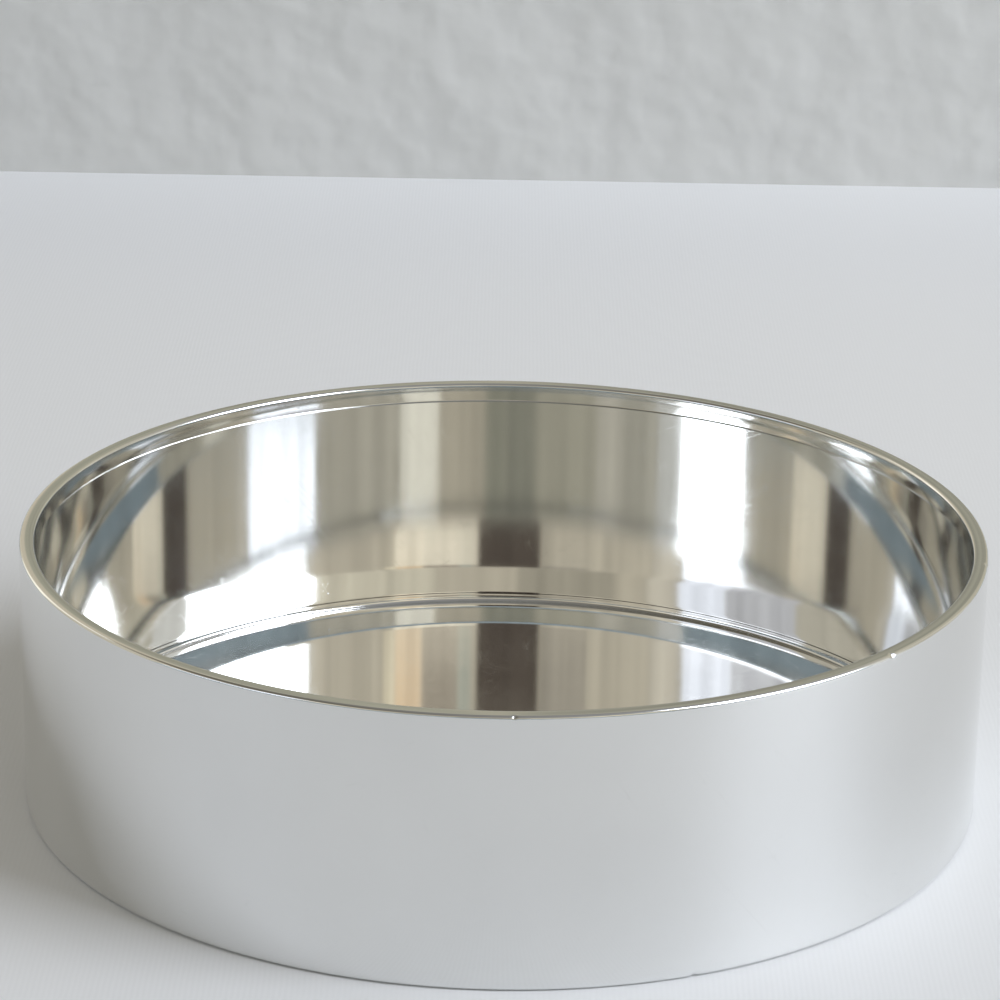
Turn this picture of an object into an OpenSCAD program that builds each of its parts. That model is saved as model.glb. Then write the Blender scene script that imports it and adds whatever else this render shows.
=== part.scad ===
// Shallow round candle tin: an open tinplate cup made of a side wall with a
// rolled rim, a pressed base, and the sealing compound that joins the two.
// Millimetres, +Z up. The origin is the centre of the tin, on the surface it
// stands on.

/* [Tin] */
// Outside diameter
tin_d = 100; // [80:1:130]
// Overall height
tin_h = 28; // [15:0.5:60]
// Thickness of the sheet metal
sheet_t = 0.3; // [0.2:0.05:0.3]

/* [Rolled rim] */
// Radial thickness of the roll
roll_w = 1.6; // [1.5:0.1:2.2]
// Height of the roll
roll_h = 2.3; // [1.8:0.1:3]
// Outside radius of the roll's bends
roll_bend_r = 0.35; // [0.35:0.05:0.6]
// Width of the roll's free edge, turned back towards the wall
roll_tuck = 0.3; // [0.1:0.05:0.4]

/* [Turned-in bottom edge] */
// Outside radius of the corner between the wall and the edge turned in
corner_r = 0.5; // [0.4:0.05:0.6]
// Width of the edge turned in under the base
hem_w = 3; // [2.5:0.1:4]
// Thickness of the sealing compound
seal_t = 0.1; // [0.05:0.01:0.2]

/* [Base] */
// Height of the base's upturned flange
flange_h = 1.1; // [1:0.1:2.5]
// Inside radius of the bend between the flange and the standing ring
bend_r = 0.5; // [0.3:0.1:0.6]
// Distance from the outside of the wall in to the edge of the raised panel
panel_inset = 9.4; // [9:0.1:14]
// Run of the sloping shoulder around the raised panel
shoulder_run = 7; // [3:0.5:7]
// Rise of the shoulder
shoulder_rise = 0.6; // [0.2:0.1:1.2]

/* [Hidden] */
$fn = 128;
tin_r = tin_d / 2;
wall_in_r = tin_r - sheet_t;

// Rolled rim: inner side and underside, then the centres of its three bends
roll_in_r = tin_r - roll_w;
roll_under_z = tin_h - roll_h;
roll_out_x = tin_r - roll_bend_r;
roll_in_x = roll_in_r + roll_bend_r;
roll_top_z = tin_h - roll_bend_r;
roll_low_z = roll_under_z + roll_bend_r;

// Base sheet: outer edge, underside and top of the standing ring
base_r = wall_in_r - seal_t;
ring_z = sheet_t + seal_t;
ring_top_z = ring_z + sheet_t;
bend_x = base_r - sheet_t - bend_r;
bend_z = ring_top_z + bend_r;

// Raised panel, inside a straight sloping shoulder
panel_r = tin_r - panel_inset;
shoulder_r = panel_r + shoulder_run;
panel_z = ring_z + shoulder_rise;

// Sealing compound: runs under the standing ring and part way up the flange
seal_in_r = tin_r - hem_w + seal_t;
seal_top_z = ring_z + flange_h * 0.75;

// A quarter turn of sheet around [x, z], on the side that side_x and side_z
// name with -1 or 1.
module quarter_bend(x, z, side_x, side_z, inside_r) {
  outside_r = inside_r + sheet_t;
  translate([x, z])
    intersection() {
      difference() {
        circle(outside_r);
        circle(inside_r);
      }
      translate([side_x > 0 ? 0 : -outside_r, side_z > 0 ? 0 : -outside_r])
        square(outside_r);
    }
}

// A flat stretch of sheet in the section, between two opposite corners.
module flat_run(x0, x1, z0, z1) {
  translate([x0, z0])
    square([x1 - x0, z1 - z0]);
}

// Section of the flattened roll: over the top, down its inner side, back under.
module roll_section() {
  inside_r = roll_bend_r - sheet_t;
  quarter_bend(roll_out_x, roll_top_z, 1, 1, inside_r);
  flat_run(roll_in_x, roll_out_x, tin_h - sheet_t, tin_h);
  quarter_bend(roll_in_x, roll_top_z, -1, 1, inside_r);
  flat_run(roll_in_r, roll_in_r + sheet_t, roll_low_z, roll_top_z);
  quarter_bend(roll_in_x, roll_low_z, -1, -1, inside_r);
  flat_run(roll_in_x, roll_in_x + roll_tuck, roll_under_z, roll_under_z + sheet_t);
}

module side_wall() {
  color([0.80, 0.80, 0.79])
    rotate_extrude()
      union() {
        roll_section();
        flat_run(wall_in_r, tin_r, corner_r, roll_top_z);
        quarter_bend(tin_r - corner_r, corner_r, 1, -1, corner_r - sheet_t);
        flat_run(tin_r - hem_w, tin_r - corner_r, 0, sheet_t);
      }
}

// Section of the shoulder, from the raised panel down to the standing ring.
module shoulder_section() {
  polygon([
    [panel_r, panel_z],
    [shoulder_r, ring_z],
    [shoulder_r, ring_top_z],
    [panel_r, panel_z + sheet_t]
  ]);
}

module base_panel() {
  color([0.78, 0.78, 0.77])
    rotate_extrude()
      union() {
        flat_run(0, panel_r, panel_z, panel_z + sheet_t);
        shoulder_section();
        flat_run(shoulder_r, bend_x, ring_z, ring_top_z);
        quarter_bend(bend_x, bend_z, 1, -1, bend_r);
        flat_run(base_r - sheet_t, base_r, bend_z, ring_z + flange_h);
      }
}

module seam_seal() {
  color([0.62, 0.60, 0.54])
    rotate_extrude()
      difference() {
        flat_run(seal_in_r, wall_in_r, sheet_t, seal_top_z);
        flat_run(0, base_r, ring_z, tin_h);
      }
}

side_wall();
base_panel();
seam_seal();
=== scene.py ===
"""Looks for the shallow round candle tin: bright tinplate on a pale cloth."""

import math

import bpy
from mathutils import Matrix, Vector


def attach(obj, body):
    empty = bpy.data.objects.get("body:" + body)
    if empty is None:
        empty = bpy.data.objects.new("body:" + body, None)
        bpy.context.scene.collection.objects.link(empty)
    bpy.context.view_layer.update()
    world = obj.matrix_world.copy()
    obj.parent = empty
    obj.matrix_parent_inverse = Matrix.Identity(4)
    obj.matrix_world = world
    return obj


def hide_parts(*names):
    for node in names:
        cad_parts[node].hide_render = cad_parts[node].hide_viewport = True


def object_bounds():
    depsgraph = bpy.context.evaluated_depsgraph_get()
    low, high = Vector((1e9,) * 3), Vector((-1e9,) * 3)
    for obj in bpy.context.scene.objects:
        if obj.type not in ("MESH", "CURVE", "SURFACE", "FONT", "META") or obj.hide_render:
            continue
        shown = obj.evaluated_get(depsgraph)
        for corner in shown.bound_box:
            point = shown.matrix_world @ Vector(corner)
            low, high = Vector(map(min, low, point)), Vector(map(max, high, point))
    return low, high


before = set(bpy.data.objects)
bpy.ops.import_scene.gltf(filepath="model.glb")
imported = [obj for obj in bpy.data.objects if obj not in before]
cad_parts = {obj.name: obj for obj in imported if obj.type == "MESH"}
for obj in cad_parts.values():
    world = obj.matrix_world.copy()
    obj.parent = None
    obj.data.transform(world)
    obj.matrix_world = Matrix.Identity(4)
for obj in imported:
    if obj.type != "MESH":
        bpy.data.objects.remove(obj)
cad_low, cad_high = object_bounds()

MM = 0.001

# ---------------------------------------------------------------- dimensions
# Sheet sizes in millimetres; the overall sizes come from the frame.
SHEET = 0.3
ROLL_WIDTH = 1.6
ROLL_HEIGHT = 2.3
ROLL_BEND = 0.35  # outside radius of the roll's bends
ROLL_TUCK = 0.3  # flat width of the free edge turned back towards the wall
ROLL_CROWN = 4.0  # radius of the slightly rounded top of the roll
CORNER = 0.5
HEM_WIDTH = 3.0
SEAL = 0.1
FLANGE_HEIGHT = 1.1
FLANGE_BEND = 0.5
PANEL_INSET = 9.4
SHOULDER_RUN = 7.0
SHOULDER_RISE = 0.6
SHOULDER_EASE = 0.3  # length over which the shoulder eases into its neighbours

TIN_RADIUS = (cad_high.x - cad_low.x) / 2 / MM
TIN_HEIGHT = cad_high.z / MM

STEPS_ROUND = 720  # mesh columns around the tin

# Small dents in the wall's edges: angle around the tin in degrees from +X,
# then distance in from the outside, height, radius and depth in millimetres.
NICKS = (
    (271.4, 0.05, TIN_HEIGHT - 0.10, 0.22, 0.06),
    (318.2, 0.05, TIN_HEIGHT - 0.10, 0.30, 0.10),
    (350.4, 0.05, TIN_HEIGHT - 0.15, 0.25, 0.10),
    (292.0, 0.10, 0.25, 0.35, 0.12),
)
NICK_COLUMNS = 12  # extra mesh columns on each side of a nick
NICK_REACH = 3  # nick radii beyond which nothing moves
AXIS_GAP = 0.02  # radius left open at the centre of the base, so that no face collapses


# ------------------------------------------------------------ sheet sections
def arc(centre, radius, start, end, step):
    """Points on an arc in the section plane, from one angle to another in degrees."""
    count = max(2, math.ceil(abs(end - start) / step))
    angles = (math.radians(start + (end - start) * i / count) for i in range(count + 1))
    return [(centre[0] + radius * math.cos(a), centre[1] + radius * math.sin(a)) for a in angles]


def run(start, end, count):
    """Evenly spaced points on a straight stretch, without its two ends."""
    return [
        (start[0] + (end[0] - start[0]) * i / count, start[1] + (end[1] - start[1]) * i / count)
        for i in range(1, count)
    ]


def sheet_section(middle):
    """Closed outline of a sheet whose middle line is given, half a thickness each side."""
    left, right = [], []
    for i, point in enumerate(middle):
        before = Vector(middle[max(i - 1, 0)])
        after = Vector(middle[min(i + 1, len(middle) - 1)])
        along = (after - before).normalized()
        across = Vector((-along.y, along.x)) * (SHEET / 2)
        left.append(tuple(Vector(point) + across))
        right.append(tuple(Vector(point) - across))
    return left + right[::-1]


def wall_middle():
    """Middle line of the wall's sheet: turned-in edge, wall, then the roll at the rim."""
    half = SHEET / 2
    bend = ROLL_BEND - half
    out_x = TIN_RADIUS - ROLL_BEND
    in_x = TIN_RADIUS - ROLL_WIDTH + ROLL_BEND
    low = TIN_HEIGHT - ROLL_HEIGHT + ROLL_BEND
    tilt = math.asin((out_x - in_x) / 2 / (ROLL_CROWN - bend))
    crown_z = TIN_HEIGHT - half - ROLL_CROWN
    top = crown_z + (ROLL_CROWN - bend) * math.cos(tilt)
    tilt = math.degrees(tilt)
    hem_end = (TIN_RADIUS - HEM_WIDTH, half)
    hem_start = (TIN_RADIUS - CORNER, half)
    foot = (TIN_RADIUS - half, CORNER)
    head = (TIN_RADIUS - half, top)
    return (
        [hem_end] + run(hem_end, hem_start, count=4)
        + arc((TIN_RADIUS - CORNER, CORNER), CORNER - half, -90, 0, step=15)
        + run(foot, head, count=60)
        + arc((out_x, top), bend, 0, 90 - tilt, step=10)
        + arc(((out_x + in_x) / 2, crown_z), ROLL_CROWN, 90 - tilt, 90 + tilt, step=1)[1:-1]
        + arc((in_x, top), bend, 90 + tilt, 180, step=10)
        + arc((in_x, low), bend, 180, 270, step=10)
        + [(in_x + ROLL_TUCK, low - bend)]
    )


def base_middle():
    """Middle line of the base's sheet: flange, standing ring, shoulder, raised panel."""
    half = SHEET / 2
    edge = TIN_RADIUS - SHEET - SEAL - half
    ring_z = SHEET + SEAL + half
    bend = FLANGE_BEND + half
    bend_x = edge - bend
    panel_x = TIN_RADIUS - PANEL_INSET
    panel_z = ring_z + SHOULDER_RISE
    flange_top = (edge, SHEET + SEAL + FLANGE_HEIGHT)
    foot_x = panel_x + SHOULDER_RUN
    ease_z = SHOULDER_EASE * SHOULDER_RISE / SHOULDER_RUN
    foot_out = (foot_x + SHOULDER_EASE, ring_z)
    foot_in = (foot_x - SHOULDER_EASE, ring_z + ease_z)
    head_out = (panel_x + SHOULDER_EASE, panel_z - ease_z)
    head_in = (panel_x - SHOULDER_EASE, panel_z)
    middle = (AXIS_GAP, panel_z)
    return (
        [flange_top]
        + arc((bend_x, ring_z + bend), bend, 0, -90, step=9)
        + [foot_out, foot_in] + run(foot_in, head_out, count=14)
        + [head_out, head_in] + run(head_in, middle, count=50) + [middle]
    )


def columns_around(nicks):
    """Angles of the mesh columns: even steps, with finer ones at each nick."""
    angles = {round(360 * k / STEPS_ROUND, 4) for k in range(STEPS_ROUND)}
    for around, _, _, radius, _ in nicks:
        span = math.degrees(2 * radius / TIN_RADIUS)
        for k in range(-NICK_COLUMNS, NICK_COLUMNS + 1):
            angles.add(round(around + span * k / NICK_COLUMNS, 4))
    return sorted(angles)


def dented(x, z, angle, nicks):
    """A section point moved inwards and towards mid-height where a nick is."""
    for around, inset, height, radius, depth in nicks:
        along = math.radians(angle - around) * TIN_RADIUS
        spread = (along ** 2 + (x - TIN_RADIUS + inset) ** 2 + (z - height) ** 2) / radius ** 2
        if spread < NICK_REACH ** 2:
            push = depth * math.exp(-spread)
            x -= push
            z += math.copysign(push, TIN_HEIGHT / 2 - height)
    return x, z


def lathe(name, outline, nicks=()):
    """Closed mesh made by turning a closed outline, in millimetres, about the Z axis."""
    count = len(outline)
    columns = columns_around(nicks)
    verts = []
    for angle in columns:
        turn = math.radians(angle)
        for point in outline:
            x, z = dented(*point, angle, nicks)
            verts.append((x * MM * math.cos(turn), x * MM * math.sin(turn), z * MM))
    faces = []
    for k in range(len(columns)):
        here = k * count
        there = (k + 1) % len(columns) * count
        for i in range(count):
            j = (i + 1) % count
            faces.append((here + i, here + j, there + j, there + i))
    mesh = bpy.data.meshes.new(name)
    mesh.from_pydata(verts, [], faces)
    mesh.update()
    mesh.shade_smooth()
    mesh.set_sharp_from_angle(angle=math.radians(40))
    obj = bpy.data.objects.new(name, mesh)
    bpy.context.scene.collection.objects.link(obj)
    return obj


# ----------------------------------------------------------------- materials
class Nodes:
    """A material's or world's node tree with short calls for adding and joining nodes."""

    def __init__(self, owner):
        owner.use_nodes = True
        self.tree = owner.node_tree
        self.tree.nodes.clear()

    def add(self, kind, inputs=None, **settings):
        node = self.tree.nodes.new("ShaderNode" + kind)
        for key, value in settings.items():
            setattr(node, key, value)
        for key, value in (inputs or {}).items():
            self.feed(node.inputs[key], value)
        return node

    def feed(self, socket, value):
        if isinstance(value, bpy.types.NodeSocket):
            self.tree.links.new(value, socket)
        else:
            socket.default_value = value

    def math(self, operation, *values, clamp=False):
        node = self.add("Math", dict(enumerate(values)), operation=operation, use_clamp=clamp)
        return node.outputs[0]

    def ramp(self, value, low, high, out_low=0.0, out_high=1.0):
        node = self.add("MapRange", {0: value, 1: low, 2: high, 3: out_low, 4: out_high})
        return node.outputs[0]

    def mix(self, share, first, second):
        """Colour between two colours, each a triple or a socket."""
        first, second = ((*c, 1) if isinstance(c, tuple) else c for c in (first, second))
        return self.add("Mix", {0: share, 6: first, 7: second}, data_type="RGBA").outputs[2]

    def vector(self, *parts):
        return self.add("CombineXYZ", dict(enumerate(parts))).outputs[0]

    def noise(self, vector, scale=1.0, detail=2.0):
        node = self.add("TexNoise", {"Vector": vector, "Scale": scale, "Detail": detail})
        return node.outputs["Fac"]

    def finish(self, surface, kind="OutputMaterial"):
        self.feed(self.add(kind).inputs["Surface"], surface.outputs[0])


def scratches(n, place, turn, length, spacing, width, share):
    """Hairlines: thin contours of a stretched noise, kept on a share of the surface.

    turn is in radians, length and spacing in millimetres, width in noise height."""
    turned = n.add("VectorRotate", {"Vector": place, "Angle": turn, "Axis": (0.3, 0.5, 0.81)})
    x, y, z = n.add("SeparateXYZ", {0: turned.outputs[0]}).outputs
    field = n.vector(
        n.math("DIVIDE", x, length * MM),
        n.math("DIVIDE", y, spacing * MM),
        n.math("DIVIDE", z, spacing * MM),
    )
    away = n.math("ABSOLUTE", n.math("SUBTRACT", n.noise(field, 1.0, 0.0), 0.5))
    line = n.ramp(away, width / 2, width, 1.0, 0.0)
    patch = n.ramp(n.noise(field, 0.6, 0.0), 0.66 - share, 0.70 - share)
    return n.math("MULTIPLY", line, patch)


def specks(n, place, spacing, size, share):
    """Round specks, in millimetres, on a share of the points of a scattered grid."""
    cells = n.add("TexVoronoi", {"Vector": place, "Scale": 1 / (spacing * MM)})
    lot = n.add("SeparateColor", {0: cells.outputs["Color"]}).outputs[0]
    chosen = n.math("LESS_THAN", lot, share)
    reach = size / spacing
    dot = n.ramp(cells.outputs["Distance"], reach * 0.5, reach, 1.0, 0.0)
    return n.math("MULTIPLY", dot, chosen)


def tinplate(name, colour, worn_above=None):
    """Bright tin-plated steel: drawing lines, clouding, hairline scratches, specks.

    Above the height worn_above, in millimetres, the sheet is rubbed dull."""
    material = bpy.data.materials.new(name)
    n = Nodes(material)
    place = n.add("TexCoord").outputs["Object"]
    x, y, z = n.add("SeparateXYZ", {0: place}).outputs
    radius = n.math("SQRT", n.math("ADD", n.math("MULTIPLY", x, x), n.math("MULTIPLY", y, y)))

    rings = n.vector(n.math("DIVIDE", radius, 0.25 * MM), n.math("DIVIDE", z, 0.25 * MM), 0.0)
    drawn = n.math("MULTIPLY", n.noise(rings, 1.0, 3.0), n.noise(place, 45.0, 1.0))
    cloud = n.noise(place, 90.0, 3.0)
    fine = scratches(n, place, turn=0.7, length=60.0, spacing=1.0, width=0.006, share=0.05)
    cross = scratches(n, place, turn=2.4, length=40.0, spacing=0.8, width=0.008, share=0.04)
    marks = n.math("MAXIMUM", fine, cross)
    spots = specks(n, place, spacing=7.0, size=0.16, share=0.35)

    rough = n.ramp(cloud, 0.3, 0.7, 0.05, 0.085)
    rough = n.math("ADD", rough, n.math("MULTIPLY", marks, 0.06))
    rough = n.math("ADD", rough, n.math("MULTIPLY", spots, 0.30))
    if worn_above is not None:
        worn = n.ramp(z, (worn_above - 0.2) * MM, worn_above * MM)
        rough = n.math("ADD", rough, n.math("MULTIPLY", worn, 0.03))

    dark = tuple(0.5 * c for c in colour)
    pale = tuple(min(1.0, 1.03 * c) for c in colour)
    tint = n.mix(n.ramp(cloud, 0.3, 0.7), colour, pale)
    tint = n.mix(n.math("MULTIPLY", marks, 0.05), tint, dark)
    tint = n.mix(n.math("MULTIPLY", spots, 0.8), tint, dark)

    lines = n.add("Bump", {"Height": drawn, "Strength": 1.0, "Distance": 0.0012 * MM})
    relief = n.math("ADD", n.math("MULTIPLY", marks, -0.2), n.math("MULTIPLY", spots, 1.0))
    bump = n.add("Bump", {
        "Height": relief, "Strength": 1.0, "Distance": 0.002 * MM, "Normal": lines.outputs[0],
    })
    n.finish(n.add("BsdfPrincipled", {
        "Metallic": 1.0, "Base Color": tint, "Roughness": rough, "Normal": bump.outputs[0],
    }))
    return material


def compound(name):
    """Dull, slightly mottled sealing compound."""
    material = bpy.data.materials.new(name)
    n = Nodes(material)
    mottle = n.noise(n.add("TexCoord").outputs["Object"], 900.0)
    tint = n.mix(mottle, (0.28, 0.26, 0.21), (0.42, 0.40, 0.34))
    n.finish(n.add("BsdfPrincipled", {
        "Base Color": tint, "Roughness": n.ramp(mottle, 0.3, 0.7, 0.6, 0.8),
    }))
    return material


# -------------------------------------------------------------------- pieces
TIN_COLOUR = (0.795, 0.80, 0.795)
RIM_WEAR = 0.5  # millimetres below the top where the rim's rubbed band is fullest


def make_piece(name, outline, material, node, nicks=()):
    """One turned sheet that stands for a CAD node."""
    obj = lathe(name, outline, nicks)
    obj.data.materials.append(material)
    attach(obj, "root")
    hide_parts(node)


make_piece(
    "wall_sheet", sheet_section(wall_middle()),
    tinplate("wall_tinplate", TIN_COLOUR, worn_above=TIN_HEIGHT - RIM_WEAR),
    "side_wall", NICKS,
)
make_piece(
    "base_sheet", sheet_section(base_middle()),
    tinplate("base_tinplate", TIN_COLOUR),
    "base_panel",
)
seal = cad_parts["seam_seal"]
seal.data.materials.clear()
seal.data.materials.append(compound("sealing_compound"))


# --------------------------------------------------------------------- stage
TABLE_REACH = 3.0  # metres from the middle to the table's edge
BACKDROP_Y = 0.247  # metres behind the tin's centre
BACKDROP_HEIGHT = 0.05
THREAD = 0.55  # millimetres between the cloth's ribs
PAINTED_SHADE_DARKEST_X = -0.12  # metres along X, left of which the painted shade on the stage is darkest
PAINTED_SHADE_ENDS_X = 0.06  # metres along X, right of which no shade is painted and the stage has its full tone
PAINTED_SHADE_SHARE = 0.88  # share of the full tone that is left where the painted shade is darkest


def stage_material(name, colour, relief, depth, shading, roughness, gloss):
    """Matt surface, clear when seen from behind, with painted shade that darkens its tone to the
    left.

    relief builds the height that the bump shows; depth is in millimetres.
    shading is how much darker the hollows are painted, as painted shade."""
    material = bpy.data.materials.new(name)
    n = Nodes(material)
    place = n.add("TexCoord").outputs["Object"]
    height = relief(n, place)
    bump = n.add("Bump", {"Height": height, "Distance": depth * MM, "Strength": 1.0})
    # Painted shade in the hollows: the lower the relief, the darker the colour.
    shade = tuple((1 - shading) * c for c in colour)
    tone = n.mix(height, shade, colour)
    # Painted shade: the tone is darkened towards the left along X, standing in for the light
    # falling off.
    along = n.add("SeparateXYZ", {0: place}).outputs[0]
    painted_shade_ramp = n.ramp(along, PAINTED_SHADE_DARKEST_X, PAINTED_SHADE_ENDS_X, PAINTED_SHADE_SHARE, 1.0)
    tone = n.add("VectorMath", {0: tone, "Scale": painted_shade_ramp}, operation="SCALE").outputs[0]
    matt = n.add("BsdfPrincipled", {
        "Base Color": tone, "Roughness": roughness,
        "Normal": bump.outputs[0], "Specular IOR Level": gloss,
    })
    clear = n.add("BsdfTransparent")
    side = n.add("NewGeometry").outputs["Backfacing"]
    n.finish(n.add("MixShader", {0: side, 1: matt.outputs[0], 2: clear.outputs[0]}))
    return material


def ribs(n, place):
    """Height of a finely ribbed cloth with slightly uneven threads."""
    threads = n.add("TexWave", {
        "Vector": place, "Scale": 2 * math.pi / (20 * THREAD * MM), "Distortion": 1.5,
        "Detail": 1.0, "Detail Scale": 0.3,
    }).outputs["Fac"]
    even = n.math("MULTIPLY", threads, 0.6)
    uneven = n.math("MULTIPLY", n.noise(place, 500.0), 0.4)
    return n.math("ADD", even, uneven)


def plaster(n, place):
    """Height of rough plaster with soft lumps a few millimetres across."""
    small = n.math("MULTIPLY", n.noise(place, 130.0, 1.5), 0.7)
    broad = n.noise(place, 40.0, 1.0)
    return n.math("ADD", small, broad)


def plane(name, corners, material):
    mesh = bpy.data.meshes.new(name)
    mesh.from_pydata(corners, [], [(0, 1, 2, 3)])
    obj = bpy.data.objects.new(name, mesh)
    bpy.context.scene.collection.objects.link(obj)
    obj.data.materials.append(material)


reach = TABLE_REACH
plane(
    "table",
    [(-reach, -reach, 0), (reach, -reach, 0), (reach, reach, 0), (-reach, reach, 0)],
    stage_material(
        "table_cloth", (0.80, 0.81, 0.83), ribs,
        depth=0.006, shading=0.02, roughness=0.55, gloss=0.6,
    ),
)
plane(
    "backdrop",
    [(-reach, BACKDROP_Y, 0), (reach, BACKDROP_Y, 0),
     (reach, BACKDROP_Y, BACKDROP_HEIGHT), (-reach, BACKDROP_Y, BACKDROP_HEIGHT)],
    stage_material(
        "backdrop_plaster", (0.735, 0.735, 0.725), plaster,
        depth=1.2, shading=0.06, roughness=0.9, gloss=0.2,
    ),
)

# What surrounds the table and shows in the bright metal. This is not a plain
# studio: the upright panels stand, coarsely, for the room that the real tin
# mirrors. They are directions from the tin in degrees. Azimuth 0 is towards the
# camera and 90 to the right; then elevation from and to, and colour. A later
# panel covers an earlier one. A colour above 1 is a window.
PANELS = (
    # low down in front
    (-100, 100, -90, 18.1, (0.32, 0.39, 0.43)),
    # behind, right to left
    (91, 104, -90, 40, (0.78, 0.77, 0.72)),
    (104, 122, -90, 40, (0.56, 0.53, 0.44)),
    (122, 135, -90, 40, (0.66, 0.62, 0.52)),
    (135, 165, -90, 40, (0.51, 0.48, 0.38)),
    (165, 180, -90, 40, (0.36, 0.35, 0.28)),
    (-180, -170, -90, 40, (0.39, 0.38, 0.30)),
    (-147, -128, -90, 40, (1.1, 1.05, 0.90)),
    (-128, -84, -90, 40, (0.60, 0.56, 0.46)),
    # windows to the left and to the right
    (-84, -47, 18.1, 21.4, (2.3, 2.4, 2.6)),
    (-84, -62, 21.4, 40, (0.66, 0.66, 0.68)),
    (-62, -48, 21.4, 40, (1.1, 1.14, 1.24)),
    (58, 91, 18.1, 21.4, (6.6, 6.9, 7.4)),
    (52, 91, 21.4, 60, (6.6, 6.9, 7.4)),
    # in front, left to right: the upper row, then the lower one
    (-47, -39, 18.1, 40, (0.73, 0.67, 0.55)),
    (-30, -4, 25, 40, (0.46, 0.42, 0.33)),
    (-22, -10, 21.4, 25, (0.42, 0.38, 0.31)),
    (8, 11.5, 21.4, 25, (0.48, 0.50, 0.42)),
    (11.5, 21, 21.4, 25, (0.38, 0.33, 0.26)),
    (21, 28, 21.4, 25, (0.92, 0.70, 0.46)),
    (28, 31, 21.4, 25, (0.98, 0.87, 0.64)),
    (18, 52, 25, 40, (0.76, 0.70, 0.55)),
    (6, 28, 18.1, 21.4, (1.08, 0.98, 0.78)),
    (-9.5, 6.5, 18.1, 24.5, (0.095, 0.075, 0.06)),
)
ROOM = (0.62, 0.56, 0.44)  # between the panels
SKY_LEFT = (0.08, 0.06, 0.02)
SKY_RIGHT = (0.44, 0.45, 0.46)
SKY_LOW = 34.0  # degrees of elevation at which the room starts to give way to the sky
SKY_HIGH = 50.0  # degrees of elevation above which there is only sky
PANEL_EDGE = 1.2  # degrees over which a panel fades at its edges
STREAK_WIDTH = 4.0  # degrees of azimuth
STREAK_HEIGHT = 30.0  # degrees of elevation
STREAK_DEPTH = 0.20  # how far a streak is lighter or darker, as a share
SEEN_BACKGROUND = (0.60, 0.61, 0.62)  # what the camera itself sees past the stage


def studio_world():
    """Light from all round, whose panels and windows are what the metal mirrors."""
    world = bpy.data.worlds.new("studio")
    bpy.context.scene.world = world
    n = Nodes(world)
    towards = n.add("TexCoord").outputs["Generated"]
    x, y, z = n.add("SeparateXYZ", {0: towards}).outputs
    degree = 180 / math.pi
    azimuth = n.math("MULTIPLY", n.math("ARCTAN2", x, n.math("MULTIPLY", y, -1.0)), degree)
    elevation = n.math("MULTIPLY", n.math("ARCSINE", z), degree)

    sky = n.mix(n.ramp(x, -0.8, 0.8), SKY_LEFT, SKY_RIGHT)
    colour = n.mix(n.ramp(elevation, SKY_LOW, SKY_HIGH), ROOM, sky)
    for left, right, bottom, top, tint in PANELS:
        inside = 1.0
        for value, low, high in ((azimuth, left, right), (elevation, bottom, top)):
            half = (high - low) / 2
            away = n.math("ABSOLUTE", n.math("SUBTRACT", value, (low + high) / 2))
            within = n.ramp(away, half - PANEL_EDGE / 2, half + PANEL_EDGE / 2, 1.0, 0.0)
            inside = n.math("MULTIPLY", within, inside)
        colour = n.mix(inside, colour, tint)

    across = n.vector(
        n.math("DIVIDE", azimuth, STREAK_WIDTH),
        n.math("DIVIDE", elevation, STREAK_HEIGHT),
        0.0,
    )
    streaks = n.ramp(n.noise(across, 1.0, 4.0), 0.3, 0.7, 1 - STREAK_DEPTH, 1 + STREAK_DEPTH)
    shade = n.add("VectorMath", {0: colour, "Scale": streaks}, operation="SCALE").outputs[0]
    seen = n.mix(n.add("LightPath").outputs["Is Camera Ray"], shade, SEEN_BACKGROUND)
    n.finish(n.add("Background", {"Color": seen, "Strength": 1.0}), "OutputWorld")


studio_world()

# -------------------------------------------------------------------- camera
CAMERA_PITCH = 19.713  # degrees below level
CAMERA_ROLL = 0.978  # degrees
CAMERA_DISTANCE = 7.683  # tin radii from the point it looks at
CAMERA_AIM = (-0.0095, 0.0, 0.6204)  # tin radii
CAMERA_LENS = 133.58


def make_camera():
    radius = TIN_RADIUS * MM
    pitch = math.radians(CAMERA_PITCH)
    back = Vector((0, -math.cos(pitch), math.sin(pitch)))
    place = (Vector(CAMERA_AIM) + back * CAMERA_DISTANCE) * radius
    data = bpy.data.cameras.new("camera")
    data.sensor_width = 36
    data.lens = CAMERA_LENS
    data.clip_start = 0.01
    camera = bpy.data.objects.new("camera", data)
    bpy.context.scene.collection.objects.link(camera)
    turn = Matrix.Rotation(math.pi / 2 - pitch, 4, "X")
    roll = Matrix.Rotation(math.radians(CAMERA_ROLL), 4, "Z")
    camera.matrix_world = Matrix.Translation(place) @ turn @ roll
    bpy.context.scene.camera = camera


make_camera()

scene = bpy.context.scene
scene.view_settings.view_transform = "Standard"
scene.cycles.max_bounces = 24
scene.cycles.glossy_bounces = 20
scene.cycles.diffuse_bounces = 4
